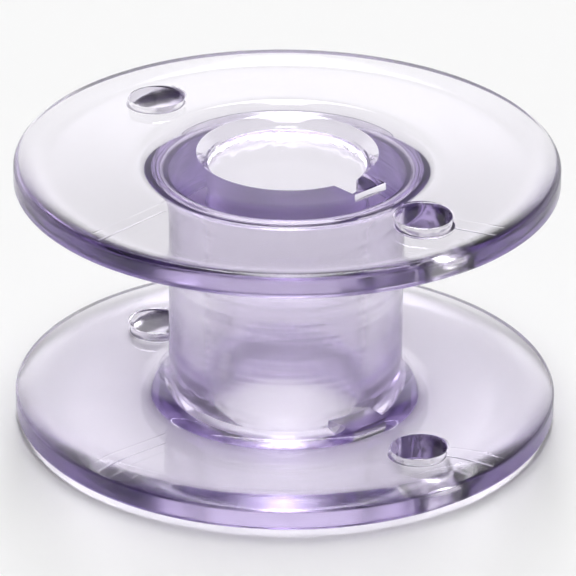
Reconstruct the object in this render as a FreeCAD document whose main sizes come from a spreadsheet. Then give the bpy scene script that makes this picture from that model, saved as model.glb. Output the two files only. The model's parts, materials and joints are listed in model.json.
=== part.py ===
"""Sewing machine bobbin, moulded in one piece from clear plastic.

Two slightly conical flanges of even thickness stand on a tubular hub, their inner faces crowned at the rim.
The bore runs right through, with a lead-in and a drive notch at each end. Thread holes pass through both
flanges, one on each side of the bore.
Millimetres and degrees, +Z along the bore, origin on the bore's axis at the level of the lower end face.
"""

import FreeCAD, Part
import Sketcher
import math
import os

NODE = "bobbin"

# Driving dimensions, each in a cell of its own
SIZES = [
    ("flange_diameter", 20.6),
    ("overall_height", 10.9),
    ("flange_thickness", 1.1),
    ("flange_taper", 2.7),
    ("end_face_diameter", 10.0),
    ("hub_diameter", 8.9),
    ("hub_root_radius", 1.2),
    ("bore_diameter", 6.0),
    ("bore_lead_in", 0.43),
    ("rim_crown_radius", 4.6),
    ("rim_crown_width", 1.5),
    ("rim_bevel", 0.3),
    ("thread_hole_diameter", 2.1),
    ("thread_hole_circle", 14.5),
    ("drive_notch_width", 1.6),
    ("drive_notch_depth", 0.9),
]

# Points of a sketch element, in the sketcher's numbering
START, END, CENTRE = range(1, 4)
# The sketch's origin is the start of its horizontal axis
ORIGIN = (-1, START)
AXIS_H = ORIGIN[0]


def make_sheet(doc):
    """Spreadsheet with one named cell per driving dimension."""
    sheet = doc.addObject("Spreadsheet::Sheet", "Sizes")
    for row, (name, value) in enumerate(SIZES, start=1):
        sheet.set(f"A{row}", name)
        sheet.set(f"B{row}", str(value))
        sheet.setAlias(f"B{row}", name)
    doc.recompute()
    return sheet


def origin_feature(body, role):
    """Plane or axis of the body's own origin."""
    return next(item for item in body.Origin.OriginFeatures if item.Role == role)


def add_sketch(body, name, plane):
    """Empty sketch lying on one of the body's origin planes."""
    sketch = body.newObject("Sketcher::SketchObject", name)
    sketch.AttachmentSupport = [(origin_feature(body, plane), "")]
    sketch.MapMode = "FlatFace"
    return sketch


def constrain(sketch, kind, *elements):
    return sketch.addConstraint(Sketcher.Constraint(kind, *elements))


def bind(sketch, kind, elements, value, name, expression):
    """Dimension of a sketch, driven by the sheet."""
    sketch.renameConstraint(constrain(sketch, kind, *elements, value), name)
    sketch.setExpression(f"Constraints.{name}", expression)


def point(x, y):
    return FreeCAD.Vector(x, y, 0)


def line(start, end):
    return Part.LineSegment(start, end)


def arc(centre, start, end):
    """Arc about centre, anticlockwise from start to end."""
    circle = Part.Circle(centre, FreeCAD.Vector(0, 0, 1), centre.distanceToPoint(start))
    return Part.ArcOfCircle(circle, circle.parameter(start), circle.parameter(end))


def draw_section(body, sheet):
    """Section of the lower half, from the bore to the rim, below mid-height."""
    half = sheet.overall_height / 2
    bore = sheet.bore_diameter / 2
    land = sheet.end_face_diameter / 2
    rim = sheet.flange_diameter / 2
    hub = sheet.hub_diameter / 2
    lead = sheet.bore_lead_in
    bevel = sheet.rim_bevel
    crown = sheet.rim_crown_radius
    fall = sheet.rim_crown_width
    root = sheet.hub_root_radius
    wall = sheet.flange_thickness
    taper = math.radians(sheet.flange_taper)

    # The flange leans up from the flat end face to the rim, its inner face one wall above the outer face
    # until it falls away over the crown
    def outer_face(x):
        return point(x, (x - land) * math.tan(taper) - half)

    def above_outer(x, distance):
        return outer_face(x) + point(0, distance / math.cos(taper))

    across = point(-math.sin(taper), math.cos(taper))
    crown_centre = above_outer(rim - fall + crown * math.sin(taper), wall - crown)
    root_centre = above_outer(hub + root, wall + root)

    bore_middle, bore_end = point(bore, 0), point(bore, lead - half)
    land_start, land_end = point(bore + lead, -half), point(land, -half)
    bevel_start = outer_face(rim - bevel)
    rim_low = bevel_start + point(bevel, bevel)
    overhang = rim - crown_centre.x
    rim_high = point(rim, crown_centre.y + math.sqrt(crown ** 2 - overhang ** 2))
    inner_end, inner_start = crown_centre + across * crown, root_centre - across * root
    hub_low, hub_middle = point(hub, root_centre.y), point(hub, 0)

    sketch = add_sketch(body, "half_section", "XZ_Plane")
    bore_line, lead_line, land_line, outer_line, bevel_line, rim_line = range(6)
    crown_arc, inner_line, root_arc, hub_line, middle_line = range(6, 11)
    sketch.addGeometry([
        line(bore_middle, bore_end),
        line(bore_end, land_start),
        line(land_start, land_end),
        line(land_end, bevel_start),
        line(bevel_start, rim_low),
        line(rim_low, rim_high),
        arc(crown_centre, rim_high, inner_end),
        line(inner_end, inner_start),
        arc(root_centre, hub_low, inner_start),
        line(hub_low, hub_middle),
        line(hub_middle, bore_middle),
    ])

    for first, first_end, second, second_end in [
        (crown_arc, END, inner_line, START),
        (inner_line, END, root_arc, END),
        (root_arc, START, hub_line, START),
    ]:
        constrain(sketch, "Tangent", first, first_end, second, second_end)
    for first, second in [
        (bore_line, lead_line),
        (lead_line, land_line),
        (land_line, outer_line),
        (outer_line, bevel_line),
        (bevel_line, rim_line),
        (rim_line, crown_arc),
        (hub_line, middle_line),
        (middle_line, bore_line),
    ]:
        constrain(sketch, "Coincident", first, END, second, START)
    for upright in (bore_line, rim_line, hub_line):
        constrain(sketch, "Vertical", upright)
    constrain(sketch, "Horizontal", land_line)
    constrain(sketch, "Parallel", inner_line, outer_line)
    for end in (START, END):
        constrain(sketch, "PointOnObject", middle_line, end, AXIS_H)

    for name, element, end, value, size in [
        ("bore", bore_line, START, bore, "bore_diameter"),
        ("land", land_line, END, land, "end_face_diameter"),
        ("rim", rim_line, START, rim, "flange_diameter"),
        ("hub", hub_line, START, hub, "hub_diameter"),
    ]:
        bind(sketch, "DistanceX", (*ORIGIN, element, end), value, name, f"Sizes.{size} / 2")
    bind(sketch, "DistanceY", (land_line, END, *ORIGIN), half, "half_height", "Sizes.overall_height / 2")
    bind(sketch, "DistanceX", (bore_line, END, land_line, START), lead, "lead_width", "Sizes.bore_lead_in")
    bind(sketch, "DistanceY", (land_line, START, bore_line, END), lead, "lead_height", "Sizes.bore_lead_in")
    bevel_ends = (bevel_line, START, bevel_line, END)
    bind(sketch, "DistanceX", bevel_ends, bevel, "bevel_width", "Sizes.rim_bevel")
    bind(sketch, "DistanceY", bevel_ends, bevel, "bevel_height", "Sizes.rim_bevel")
    bind(sketch, "Angle", (land_line, outer_line), taper, "taper", "Sizes.flange_taper * 1 deg")
    bind(sketch, "Distance", (inner_line, START, outer_line), wall, "wall", "Sizes.flange_thickness")
    bind(sketch, "Radius", (crown_arc,), crown, "crown", "Sizes.rim_crown_radius")
    bind(sketch, "DistanceX", (inner_line, START, rim_line, END), fall, "fall", "Sizes.rim_crown_width")
    bind(sketch, "Radius", (root_arc,), root, "root", "Sizes.hub_root_radius")
    return sketch


def revolve(body, sketch):
    half_spool = body.newObject("PartDesign::Revolution", "half_spool")
    half_spool.Profile = sketch
    half_spool.ReferenceAxis = (sketch, ["V_Axis"])
    return half_spool


def cut_drive_notch(body, sheet):
    """Notch in the lower end of the bore, along +X, with its floor in line with the hub's outside."""
    reach = sheet.hub_diameter / 2
    side = sheet.drive_notch_width / 2
    sketch = add_sketch(body, "drive_notch_outline", "XY_Plane")
    sketch.setExpression(".AttachmentOffset.Base.z", "-Sizes.overall_height / 2")
    corners = [point(0, -side), point(reach, -side), point(reach, side), point(0, side)]
    right, floor, left, mouth = range(4)
    for element in (right, floor, left, mouth):
        sketch.addGeometry(line(corners[element], corners[(element + 1) % 4]))
    for element in (right, floor, left, mouth):
        constrain(sketch, "Coincident", element, END, (element + 1) % 4, START)
    for element in (right, left):
        constrain(sketch, "Horizontal", element)
    for element in (floor, mouth):
        constrain(sketch, "Vertical", element)
    constrain(sketch, "Symmetric", mouth, START, mouth, END, *ORIGIN)
    bind(sketch, "DistanceX", (*ORIGIN, floor, START), reach, "reach", "Sizes.hub_diameter / 2")
    bind(sketch, "Distance", (floor,), 2 * side, "width", "Sizes.drive_notch_width")

    notch = body.newObject("PartDesign::Pocket", "drive_notch")
    notch.Profile = sketch
    notch.Reversed = True
    notch.setExpression("Length", "Sizes.drive_notch_depth")
    return notch


def mirror_half(body):
    """The upper half is the lower one turned over, notch and all."""
    spool = body.newObject("PartDesign::Mirrored", "spool")
    spool.TransformMode = "Whole shape"
    spool.MirrorPlane = (origin_feature(body, "XY_Plane"), [""])
    spool.Refine = True
    return spool


def cut_thread_holes(body, sheet):
    """Thread hole through both flanges on the notch's side, and its twin across the bore."""
    offset = sheet.thread_hole_circle / 2
    diameter = sheet.thread_hole_diameter
    sketch = add_sketch(body, "thread_hole_outline", "XY_Plane")
    hole = sketch.addGeometry(Part.Circle(point(offset, 0), FreeCAD.Vector(0, 0, 1), diameter / 2))
    constrain(sketch, "PointOnObject", hole, CENTRE, AXIS_H)
    bind(sketch, "DistanceX", (*ORIGIN, hole, CENTRE), offset, "offset", "Sizes.thread_hole_circle / 2")
    bind(sketch, "Diameter", (hole,), diameter, "diameter", "Sizes.thread_hole_diameter")

    pocket = body.newObject("PartDesign::Pocket", "thread_hole")
    pocket.Profile = sketch
    pocket.Type = "ThroughAll"
    pocket.SideType = "Symmetric"

    pattern = body.newObject("PartDesign::PolarPattern", "thread_holes")
    pattern.Originals = [pocket]
    pattern.Axis = (origin_feature(body, "Z_Axis"), [""])
    pattern.Angle = 360
    pattern.Occurrences = 2
    return pattern


def make_bobbin(doc, sheet):
    body = doc.addObject("PartDesign::Body", NODE)
    body.Label = NODE
    revolve(body, draw_section(body, sheet))
    doc.recompute()
    cut_drive_notch(body, sheet)
    doc.recompute()
    body.Tip = mirror_half(body)
    doc.recompute()
    body.Tip = cut_thread_holes(body, sheet)
    body.setExpression(".Placement.Base.z", "Sizes.overall_height / 2")
    doc.recompute()
    return body


def check(doc, body):
    """Stops if a feature failed or the bobbin isn't one sound solid."""
    for item in doc.Objects:
        if "Invalid" in item.State or "Error" in item.State:
            raise RuntimeError(f"{item.Name} failed: {item.State}")
    shape = body.Shape
    if shape.isNull() or not shape.isValid() or len(shape.Solids) != 1:
        raise RuntimeError(f"{body.Label} isn't one valid solid")


def main():
    doc = FreeCAD.newDocument("sewing_machine_bobbin")
    bobbin = make_bobbin(doc, make_sheet(doc))
    check(doc, bobbin)
    os.makedirs("parts", exist_ok=True)
    bobbin.Shape.exportStep(f"parts/{bobbin.Label}.step")


main()
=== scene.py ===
"""A clear, violet-tinted sewing machine bobbin on a pale table, seen from above its near rim."""

import json
import math

import bmesh
import bpy
from mathutils import Matrix, Vector


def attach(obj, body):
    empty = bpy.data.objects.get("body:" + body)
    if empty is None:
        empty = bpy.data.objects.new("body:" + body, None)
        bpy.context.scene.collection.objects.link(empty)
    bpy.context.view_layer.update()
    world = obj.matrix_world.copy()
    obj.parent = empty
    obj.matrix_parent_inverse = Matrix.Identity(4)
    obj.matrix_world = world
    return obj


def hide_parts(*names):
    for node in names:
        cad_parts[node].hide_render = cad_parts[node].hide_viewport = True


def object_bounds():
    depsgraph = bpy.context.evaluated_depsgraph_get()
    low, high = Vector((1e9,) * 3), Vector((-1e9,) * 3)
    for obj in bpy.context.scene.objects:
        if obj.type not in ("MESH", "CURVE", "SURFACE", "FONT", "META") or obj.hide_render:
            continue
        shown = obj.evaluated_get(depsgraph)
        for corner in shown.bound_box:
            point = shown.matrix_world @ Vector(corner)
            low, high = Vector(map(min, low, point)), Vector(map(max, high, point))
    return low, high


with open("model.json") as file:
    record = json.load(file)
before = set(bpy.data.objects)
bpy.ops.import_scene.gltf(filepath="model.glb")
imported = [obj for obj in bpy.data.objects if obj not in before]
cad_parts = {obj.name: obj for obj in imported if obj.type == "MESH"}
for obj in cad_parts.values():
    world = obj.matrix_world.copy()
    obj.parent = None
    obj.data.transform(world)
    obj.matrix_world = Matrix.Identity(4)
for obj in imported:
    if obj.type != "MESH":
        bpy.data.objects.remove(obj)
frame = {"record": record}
cad_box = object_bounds()

MM = 0.001

# Sizes of the bobbin that the frame doesn't give, in millimetres and degrees
HUB_RADIUS = 4.45
HUB_ROOT_RADIUS = 1.2
FLANGE_THICKNESS = 1.1
FLANGE_TAPER = 2.7
END_FACE_RADIUS = 5.0
BORE_LEAD_IN = 0.43
RIM_CROWN_RADIUS = 4.6
RIM_CROWN_WIDTH = 1.5
RIM_EDGE_RADIUS = 0.12
RIM_OUTER_RADIUS = 0.25
THREAD_HOLE_RADIUS = 1.05
THREAD_HOLE_OFFSET = 7.25
THREAD_HOLE_EDGE = 0.1
DRIVE_NOTCH_WIDTH = 1.6
DRIVE_NOTCH_DEPTH = 0.9

# Fineness of the revolved mesh, in pieces of a turn, degrees and millimetres
SEGMENTS = 288
HOLE_SEGMENTS = 72
ARC_STEP = 9.0
CROWN_STEP = 2.0
RADIAL_STEP = 0.4
SHARP_ANGLE = 35.0

# Room that the thread holes' tool needs past the faces that it cuts, in millimetres
TOOL_REACH = 1.0

# Camera, read from the photograph: degrees, metres, millimetres of lens, pixels of the square image
VIEW_AZIMUTH = 46.0
VIEW_ELEVATION = 25.95
VIEW_DISTANCE = 0.22325
VIEW_ROLL = 0.62
LENS = 367.6
SENSOR_WIDTH = 36.0
NEAREST_SEEN = 0.01
IMAGE_SIDE = 576
CENTRE_PIXEL = (286.1, 282.3)

# Plastic
REFRACTIVE_INDEX = 1.55
ABSORPTION_DENSITY = 100.0
ABSORPTION_COLOUR = (0.28, 0.09, 0.57, 1.0)
WHITE = (1.0, 1.0, 1.0, 1.0)
FLANGE_ROUGHNESS = 0.03
HUB_ROUGHNESS = 0.17
RIM_ROUGHNESS = 0.15
PIN_ROUGHNESS = 0.15
WAVE_SPREAD = (0.3, 0.7)
ROUGHNESS_SHARE = (0.9, 1.1)

# Where the finish of the hub and of the pins begins and is full, in millimetres from the wall or the end
HUB_FINISH_OUTSIDE = (0.5, 0.1)
HUB_FINISH_FROM_END = (1.2, 2.2)
PIN_FINISH_OUTSIDE = (0.1, 0.02)
PIN_FINISH_FROM_END = (2.0, 1.4)

# Marks of the mould, in millimetres: waves all over, drag marks round the hub, pits from the pins in the
# thread holes and the bore's mouths, flow lines in the flanges
WAVE_LENGTH = 2.5
WAVE_HEIGHT = 0.006
DRAG_MARK_LENGTH = 7.0
DRAG_MARK_SPACING = 0.45
DRAG_MARK_HEIGHT = 0.018
DRAG_MARK_ROUGHNESS = 0.55
PIN_MARK_LENGTH = 0.4
PIN_MARK_HEIGHT = 0.03
FLOW_LINES = [((8.1, 0.7), (9.8, 1.6)), ((0.0, -6.2), (0.0, -9.8))]
FLOW_LINE_WIDTH = 0.06
FLOW_LINE_DEPTH = 0.004

# Surroundings: strengths, sizes in metres and millimetres, angles in degrees where a light fades
FLOOR_COLOUR = (0.93, 0.93, 0.93, 1.0)
FLOOR_SIDE = 3.0
FLOOR_DROP = 0.02
BACKDROP_STRENGTH = 1.45
CEILING_STRENGTH = 0.26
BACKDROP_TOP = (20.0, 31.0)
BACKDROP_SIDE = (45.0, 80.0)
ROOM_SHARE = 0.45
STRIP_STRENGTH = 10.0
STRIP_AZIMUTH = 226.0
STRIP_ELEVATION = 74.0
STRIP_WIDTH = (8.0, 5.0)
STRIP_LENGTH = (36.0, 28.0)
LIGHT_BOUNCES = 12


class NodeTree:
    """An emptied node tree, with short ways to add nodes to it."""

    def __init__(self, tree):
        self.nodes = tree.nodes
        self.links = tree.links
        self.nodes.clear()

    def add(self, kind, inputs=(), operation=None):
        """Node of a kind, with each input either linked to a socket or set to a value."""
        node = self.nodes.new(kind)
        if operation:
            node.operation = operation
        for name, value in dict(inputs).items():
            if isinstance(value, bpy.types.NodeSocket):
                self.links.new(value, node.inputs[name])
            else:
                node.inputs[name].default_value = value
        return node

    def ramp(self, value, start, end, to_start=0.0, to_end=1.0):
        """Smooth change between two values of another number."""
        node = self.add("ShaderNodeMapRange", {
            "Value": value, "From Min": start, "From Max": end, "To Min": to_start, "To Max": to_end,
        })
        node.interpolation_type = "SMOOTHSTEP"
        return node.outputs["Result"]

    def clamped(self, value):
        """A number held between 0 and 1."""
        return self.add("ShaderNodeClamp", {"Value": value}).outputs["Result"]

    def maths(self, operation, first, second=0.0):
        """Result of a sum on one or two numbers."""
        return self.add("ShaderNodeMath", {0: first, 1: second}, operation).outputs["Value"]

    def vectors(self, operation, first, second=(0.0, 0.0, 0.0), output="Vector"):
        """Result of a sum on one or two vectors."""
        return self.add("ShaderNodeVectorMath", {0: first, 1: second}, operation).outputs[output]

    def noise(self, place, scale, detail=0.0, roughness=0.5):
        """Soft random number that changes from place to place."""
        return self.add("ShaderNodeTexNoise", {
            "Vector": place, "Scale": scale, "Detail": detail, "Roughness": roughness,
        }).outputs["Fac"]


def new_material(name):
    """Material and its emptied node tree."""
    material = bpy.data.materials.new(name)
    material.use_nodes = True
    return material, NodeTree(material.node_tree)


def flow_line(tree, plan, start, end):
    """1 along a line between two points of the plan, and 0 beside it."""
    start, end = Vector((*start, 0)) * MM, Vector((*end, 0)) * MM
    along = end - start
    offset = tree.vectors("SUBTRACT", plan, start)
    reach = tree.vectors("DOT_PRODUCT", offset, along / along.length_squared, "Value")
    scaled = tree.add("ShaderNodeVectorMath", {0: along, "Scale": tree.clamped(reach)}, "SCALE")
    gap = tree.vectors("DISTANCE", offset, scaled.outputs["Vector"], "Value")
    return tree.ramp(gap, FLOW_LINE_WIDTH * MM, 0.0)


def hub_wall(tree, radius, level, half_height):
    """1 on the hub's wall, inside and out, between the root roundings."""
    start, full = ((HUB_RADIUS + gap) * MM for gap in HUB_FINISH_OUTSIDE)
    inside = tree.ramp(radius, start, full)
    start, full = ((half_height - gap) * MM for gap in HUB_FINISH_FROM_END)
    return tree.maths("MULTIPLY", inside, tree.ramp(level, start, full))


def pinned_wall(tree, plan, radius, level, bore_radius, half_height):
    """1 on walls left by the mould's pins: the thread holes, and the bore just inside its mouths."""
    beside = tree.vectors("ABSOLUTE", plan)
    hole_gap = tree.vectors("DISTANCE", beside, (THREAD_HOLE_OFFSET * MM, 0.0, 0.0), "Value")
    hole = tree.ramp(hole_gap, (THREAD_HOLE_RADIUS + THREAD_HOLE_EDGE) * MM, THREAD_HOLE_RADIUS * MM)
    start, full = ((bore_radius + gap) * MM for gap in PIN_FINISH_OUTSIDE)
    bore = tree.ramp(radius, start, full)
    start, full = ((half_height - gap) * MM for gap in PIN_FINISH_FROM_END)
    mouth = tree.maths("MULTIPLY", bore, tree.ramp(level, start, full))
    return tree.maths("MAXIMUM", hole, mouth)


def rim_edge(tree, radius, flange_radius):
    """From 0 at the start of the rim's crown to 1 at its edge."""
    start, full = ((flange_radius - gap) * MM for gap in (RIM_CROWN_WIDTH, RIM_EDGE_RADIUS))
    return tree.ramp(radius, start, full)


def clear_plastic(flange_radius, bore_radius, half_height):
    """Glossy clear plastic, tinted violet through its thickness, with the marks of its mould."""
    material, tree = new_material("clear_plastic")
    place = tree.add("ShaderNodeTexCoord").outputs["Object"]
    plan = tree.vectors("MULTIPLY", place, (1.0, 1.0, 0.0))
    radius = tree.vectors("LENGTH", plan, output="Value")
    level = tree.add("ShaderNodeSeparateXYZ", {"Vector": place}).outputs["Z"]
    level = tree.maths("ABSOLUTE", tree.maths("SUBTRACT", level, half_height * MM))
    hub = hub_wall(tree, radius, level, half_height)
    pinned = pinned_wall(tree, plan, radius, level, bore_radius, half_height)
    rim = rim_edge(tree, radius, flange_radius)

    waves = tree.noise(place, 1 / (WAVE_LENGTH * MM))
    pits = tree.noise(place, 1 / (PIN_MARK_LENGTH * MM))
    lengths = Vector((DRAG_MARK_LENGTH, DRAG_MARK_LENGTH, DRAG_MARK_SPACING))
    stretched = tree.vectors("MULTIPLY", place, Vector(1 / (length * MM) for length in lengths))
    drag = tree.noise(stretched, 1.0, 1.0, DRAG_MARK_ROUGHNESS)

    roughness = tree.ramp(hub, 0.0, 1.0, FLANGE_ROUGHNESS, HUB_ROUGHNESS)
    for wall, extra in ((rim, RIM_ROUGHNESS), (pinned, PIN_ROUGHNESS)):
        roughness = tree.maths("ADD", roughness, tree.maths("MULTIPLY", wall, extra))
    roughness = tree.maths("MULTIPLY", roughness, tree.ramp(waves, *WAVE_SPREAD, *ROUGHNESS_SHARE))

    height = tree.maths("MULTIPLY", waves, WAVE_HEIGHT * MM)
    for marks, wall, depth in ((drag, hub, DRAG_MARK_HEIGHT), (pits, pinned, PIN_MARK_HEIGHT)):
        raised = tree.maths("MULTIPLY", tree.maths("MULTIPLY", marks, wall), depth * MM)
        height = tree.maths("ADD", height, raised)
    for start, end in FLOW_LINES:
        groove = tree.maths("MULTIPLY", flow_line(tree, plan, start, end), FLOW_LINE_DEPTH * MM)
        height = tree.maths("SUBTRACT", height, groove)
    bump = tree.add("ShaderNodeBump", {"Height": height, "Distance": 1.0, "Strength": 1.0})

    shader = tree.add("ShaderNodeBsdfPrincipled", {
        "Base Color": WHITE,
        "Transmission Weight": 1.0,
        "IOR": REFRACTIVE_INDEX,
        "Roughness": roughness,
        "Normal": bump.outputs["Normal"],
    })
    tint = tree.add("ShaderNodeVolumeAbsorption", {
        "Color": ABSORPTION_COLOUR, "Density": ABSORPTION_DENSITY,
    })
    tree.add("ShaderNodeOutputMaterial", {
        "Surface": shader.outputs["BSDF"], "Volume": tint.outputs["Volume"],
    })
    return material


def arc(centre, radius, start, end, step=ARC_STEP):
    """Points of an arc in the (radius, height) plane, angles in degrees, both ends included."""
    steps = max(2, math.ceil(abs(end - start) / step))
    angles = [math.radians(start + (end - start) * i / steps) for i in range(steps + 1)]
    return [(centre[0] + radius * math.cos(a), centre[1] + radius * math.sin(a)) for a in angles]


def straight(start, end):
    """Points between two ends of a straight stretch, neither included."""
    steps = max(1, math.ceil(math.dist(start, end) / RADIAL_STEP))
    return [tuple(s + (e - s) * i / steps for s, e in zip(start, end)) for i in range(1, steps)]


def on_flange(radius, above, half_height):
    """Point of the lower flange at a distance above its outer face."""
    taper = math.radians(FLANGE_TAPER)
    return (radius, (radius - END_FACE_RADIUS) * math.tan(taper) + above / math.cos(taper) - half_height)


def crowned_edge(flange_radius, half_height):
    """Points from the upright rim of the lower flange to its inner face, over a small edge and a wide arc."""
    lean = RIM_CROWN_RADIUS * math.sin(math.radians(FLANGE_TAPER))
    middle = flange_radius - RIM_CROWN_WIDTH + lean
    crown = on_flange(middle, FLANGE_THICKNESS - RIM_CROWN_RADIUS, half_height)
    inside = RIM_CROWN_RADIUS - RIM_EDGE_RADIUS
    overhang = flange_radius - RIM_EDGE_RADIUS - crown[0]
    edge = (crown[0] + overhang, crown[1] + math.sqrt(inside ** 2 - overhang ** 2))
    meeting = math.degrees(math.acos(overhang / inside))
    wide = arc(crown, RIM_CROWN_RADIUS, meeting, FLANGE_TAPER + 90, CROWN_STEP)
    return arc(edge, RIM_EDGE_RADIUS, 0, meeting) + wide[1:]


def half_section(flange_radius, bore_radius, half_height):
    """Section of the lower half from mid-height of the bore, round the rim, to mid-height of the hub."""
    outer = on_flange(flange_radius - RIM_OUTER_RADIUS, RIM_OUTER_RADIUS, half_height)
    root = on_flange(HUB_RADIUS + HUB_ROOT_RADIUS, FLANGE_THICKNESS + HUB_ROOT_RADIUS, half_height)
    stretches = [
        [(bore_radius, 0.0)],
        [(bore_radius, BORE_LEAD_IN - half_height), (bore_radius + BORE_LEAD_IN, -half_height)],
        [(END_FACE_RADIUS, -half_height)],
        arc(outer, RIM_OUTER_RADIUS, FLANGE_TAPER - 90, 0),
        crowned_edge(flange_radius, half_height),
        arc(root, HUB_ROOT_RADIUS, FLANGE_TAPER + 270, 180),
        [(HUB_RADIUS, 0.0)],
    ]
    points = list(stretches[0])
    for stretch in stretches[1:]:
        points += straight(points[-1], stretch[0]) + stretch
    return points


def mirrored(half):
    """Closed outline from the lower half of a section, in metres."""
    upper = [(r, -z) for r, z in reversed(half) if z]
    return [(r * MM, z * MM) for r, z in half + upper]


def add_object(name, data):
    """Object in the scene's own collection."""
    made = bpy.data.objects.new(name, data)
    bpy.context.scene.collection.objects.link(made)
    return made


def revolved(name, ring, segments, closed=True):
    """Mesh made by turning a (radius, height) outline about Z, with end caps if it isn't closed."""
    mesh = bpy.data.meshes.new(name)
    turns = [2 * math.pi * i / segments for i in range(segments)]
    vertices = [(r * math.cos(a), r * math.sin(a), z) for a in turns for r, z in ring]
    count = len(ring)
    faces = []
    for i in range(segments):
        this, following = i * count, (i + 1) % segments * count
        for j in range(count if closed else count - 1):
            k = (j + 1) % count
            faces.append((this + j, following + j, following + k, this + k))
    if not closed:
        faces.append(tuple(i * count for i in reversed(range(segments))))
        faces.append(tuple(i * count + count - 1 for i in range(segments)))
    mesh.from_pydata(vertices, [], faces)
    mesh.update()
    return add_object(name, mesh)


def from_bmesh(name, shape):
    """Object from a bmesh, which is freed."""
    mesh = bpy.data.meshes.new(name)
    shape.to_mesh(mesh)
    shape.free()
    return add_object(name, mesh)


def cut(piece, tools):
    """Takes the tools out of the piece, one after another, and removes them."""
    for tool in tools:
        modifier = piece.modifiers.new(tool.name, "BOOLEAN")
        modifier.operation = "DIFFERENCE"
        modifier.solver = "EXACT"
        modifier.object = tool
    graph = bpy.context.evaluated_depsgraph_get()
    mesh = bpy.data.meshes.new_from_object(piece.evaluated_get(graph))
    piece.modifiers.clear()
    piece.data = mesh
    for tool in tools:
        bpy.data.objects.remove(tool)


def thread_hole(side, half_height):
    """Pin through both flanges on one side of the bore, flared at the faces to round the hole's edges."""
    faces = [on_flange(THREAD_HOLE_OFFSET, above, half_height)[1] for above in (0, FLANGE_THICKNESS)]
    wide = THREAD_HOLE_RADIUS + THREAD_HOLE_EDGE
    low = arc((wide, faces[0] + THREAD_HOLE_EDGE), THREAD_HOLE_EDGE, 270, 180)
    high = arc((wide, faces[1] - THREAD_HOLE_EDGE), THREAD_HOLE_EDGE, 180, 90)
    half = [(wide, faces[0] - TOOL_REACH)] + low + high + [(wide, -TOOL_REACH)]
    ring = [(r * MM, z * MM) for r, z in half] + [(r * MM, -z * MM) for r, z in reversed(half)]
    hole = revolved("thread_hole", ring, HOLE_SEGMENTS, closed=False)
    hole.data.transform(Matrix.Translation((side * THREAD_HOLE_OFFSET * MM, 0, 0)))
    return hole


def drive_notch(end, half_height):
    """Block that opens the wall of the bore along +X at one end."""
    shape = bmesh.new()
    size = Vector((HUB_RADIUS, DRIVE_NOTCH_WIDTH, 2 * DRIVE_NOTCH_DEPTH)) * MM
    place = Matrix.Translation((size.x / 2, 0, end * half_height * MM))
    bmesh.ops.create_cube(shape, size=1.0, matrix=place @ Matrix.Diagonal((*size, 1)))
    return from_bmesh("drive_notch", shape)


def make_bobbin():
    """The moulded body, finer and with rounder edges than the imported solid, in the same place."""
    low, high = cad_box
    flange_radius = (high.x - low.x) / 2 / MM
    half_height = (high.z - low.z) / 2 / MM
    bore = next(mount for mount in frame["record"]["mounts"] if mount["name"] == "spindle_bore")
    bore_radius = bore["dims"]["r_mm"]
    section = half_section(flange_radius, bore_radius, half_height)
    bobbin = revolved("bobbin_body", mirrored(section), SEGMENTS)
    holes = [thread_hole(side, half_height) for side in (1, -1)]
    notches = [drive_notch(end, half_height) for end in (1, -1)]
    cut(bobbin, holes + notches)
    bobbin.data.transform(Matrix.Translation((0, 0, half_height * MM)))
    for face in bobbin.data.polygons:
        face.use_smooth = True
    bobbin.data.set_sharp_from_angle(angle=math.radians(SHARP_ANGLE))
    bobbin.data.materials.clear()
    bobbin.data.materials.append(clear_plastic(flange_radius, bore_radius, half_height))
    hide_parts("bobbin")
    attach(bobbin, "root")


def make_floor():
    """Plain pale table top, just clear of the lower end face."""
    shape = bmesh.new()
    bmesh.ops.create_grid(shape, x_segments=1, y_segments=1, size=FLOOR_SIDE / 2)
    floor = from_bmesh("table_top", shape)
    floor.location.z = -FLOOR_DROP * MM
    material, tree = new_material("table_white")
    lit = tree.add("ShaderNodeBsdfDiffuse", {"Color": FLOOR_COLOUR})
    tree.add("ShaderNodeOutputMaterial", {"Surface": lit.outputs["BSDF"]})
    floor.data.materials.append(material)


def direction(azimuth, elevation):
    """Unit vector; azimuth turns from -Y towards +X."""
    azimuth, elevation = math.radians(azimuth), math.radians(elevation)
    flat = math.cos(elevation)
    return Vector((math.sin(azimuth) * flat, -math.cos(azimuth) * flat, math.sin(elevation)))


def sines(angles):
    """Sines of angles in degrees."""
    return [math.sin(math.radians(angle)) for angle in angles]


def cosines(angles):
    """Cosines of angles in degrees."""
    return [math.cos(math.radians(angle)) for angle in angles]


def room_walls(tree, towards):
    """Light of the walls: a backdrop that is brightest behind the bobbin, under a dimmer ceiling."""
    height = tree.add("ShaderNodeSeparateXYZ", {"Vector": towards}).outputs["Z"]
    walls = tree.ramp(height, *sines(BACKDROP_TOP), BACKDROP_STRENGTH, CEILING_STRENGTH)
    behind = tree.vectors("DOT_PRODUCT", towards, direction(STRIP_AZIMUTH, 0), "Value")
    inside, outside = cosines(BACKDROP_SIDE)
    return tree.maths("MULTIPLY", walls, tree.ramp(behind, outside, inside, ROOM_SHARE, 1.0))


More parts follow.
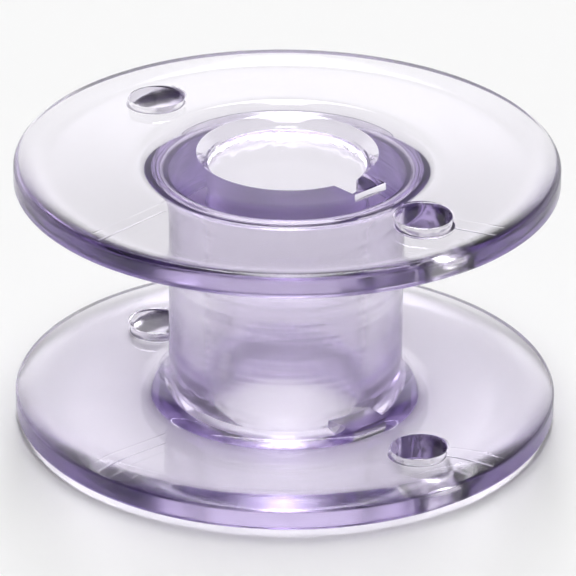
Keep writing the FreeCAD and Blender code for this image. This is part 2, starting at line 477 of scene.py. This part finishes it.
def strip_light(tree, towards):
    """Light of a narrow strip that leans from behind the bobbin to just past overhead."""
    along = tree.vectors("DOT_PRODUCT", towards, direction(STRIP_AZIMUTH, STRIP_ELEVATION), "Value")
    length = tree.ramp(along, *cosines(STRIP_LENGTH))
    aside = tree.vectors("DOT_PRODUCT", towards, direction(STRIP_AZIMUTH + 90, 0), "Value")
    width = tree.ramp(tree.maths("ABSOLUTE", aside), *sines(STRIP_WIDTH), 0.0, STRIP_STRENGTH)
    return tree.maths("MULTIPLY", length, width)


def make_world():
    """White studio: the walls and the strip of light."""
    world = bpy.data.worlds.new("studio")
    bpy.context.scene.world = world
    world.use_nodes = True
    tree = NodeTree(world.node_tree)
    towards = tree.add("ShaderNodeTexCoord").outputs["Generated"]
    strength = tree.maths("ADD", room_walls(tree, towards), strip_light(tree, towards))
    light = tree.add("ShaderNodeBackground", {"Color": WHITE, "Strength": strength})
    tree.add("ShaderNodeOutputWorld", {"Surface": light.outputs["Background"]})


def make_camera():
    """Camera at the photograph's viewing angle."""
    low, high = cad_box
    back = direction(VIEW_AZIMUTH, VIEW_ELEVATION)
    data = bpy.data.cameras.new("camera")
    data.lens = LENS
    data.sensor_width = SENSOR_WIDTH
    data.shift_x = 0.5 - CENTRE_PIXEL[0] / IMAGE_SIDE
    data.shift_y = CENTRE_PIXEL[1] / IMAGE_SIDE - 0.5
    data.clip_start = NEAREST_SEEN
    camera = add_object("camera", data)
    turn = (-back).to_track_quat("-Z", "Y").to_matrix().to_4x4()
    roll = Matrix.Rotation(math.radians(VIEW_ROLL), 4, "Z")
    camera.matrix_world = Matrix.Translation((low + high) / 2 + back * VIEW_DISTANCE) @ turn @ roll
    bpy.context.scene.camera = camera


def light_paths():
    """Enough bounces for light that runs along inside the flanges, and no blur of the light they cast."""
    cycles = bpy.context.scene.cycles
    cycles.max_bounces = LIGHT_BOUNCES
    cycles.transmission_bounces = LIGHT_BOUNCES
    cycles.glossy_bounces = LIGHT_BOUNCES
    cycles.blur_glossy = 0.0
    bpy.context.scene.view_settings.view_transform = "Standard"


make_bobbin()
make_floor()
make_world()
make_camera()
light_paths()
